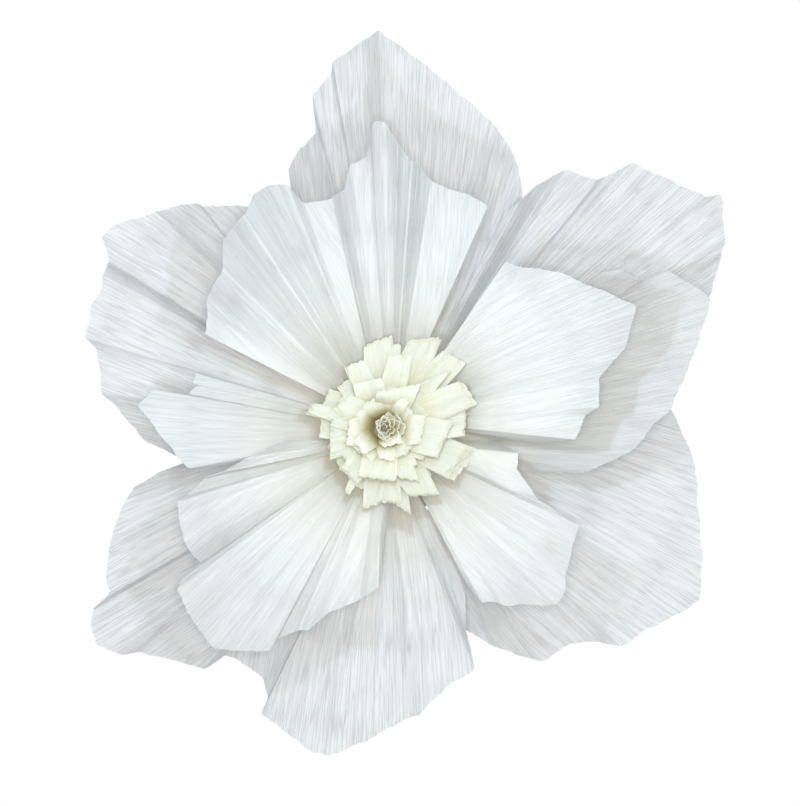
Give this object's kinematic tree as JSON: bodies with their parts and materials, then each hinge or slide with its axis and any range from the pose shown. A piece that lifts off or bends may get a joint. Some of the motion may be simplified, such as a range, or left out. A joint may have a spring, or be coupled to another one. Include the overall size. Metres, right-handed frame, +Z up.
{
  "type": "giant paper flower",
  "caption": "Large wall flower of white crepe paper: two rings of hand-pleated petals glued to a card disc around a rolled, fringed cream centre.",
  "frame": {"origin": "centre of the backing disc's back face, which goes against the wall", "axes": "+X to the right and +Z up as the flower is seen on the wall; +Y into the wall, so that the bloom faces -Y"},
  "size_m": [0.413, 0.1254, 0.469],
  "materials": {
    "white_crepe": "matt crepe",
    "cream_crepe": "matt crepe",
    "card": "matt grey board"
  },
  "bodies": {
    "root": {"backing_disc": "card", "outer_petal_top": "white_crepe", "outer_petal_upper_right": "white_crepe", "outer_petal_lower_right": "white_crepe", "outer_petal_bottom": "white_crepe", "outer_petal_lower_left": "white_crepe", "outer_petal_left": "white_crepe", "inner_petal_upper_left": "white_crepe", "inner_petal_top": "white_crepe", "inner_petal_right_front": "white_crepe", "inner_petal_right_rear": "white_crepe", "inner_petal_lower_right": "white_crepe", "inner_petal_lower_left": "white_crepe", "inner_petal_left": "white_crepe", "centre_fringe_roll": "cream_crepe"}
  },
  "joints": []
}
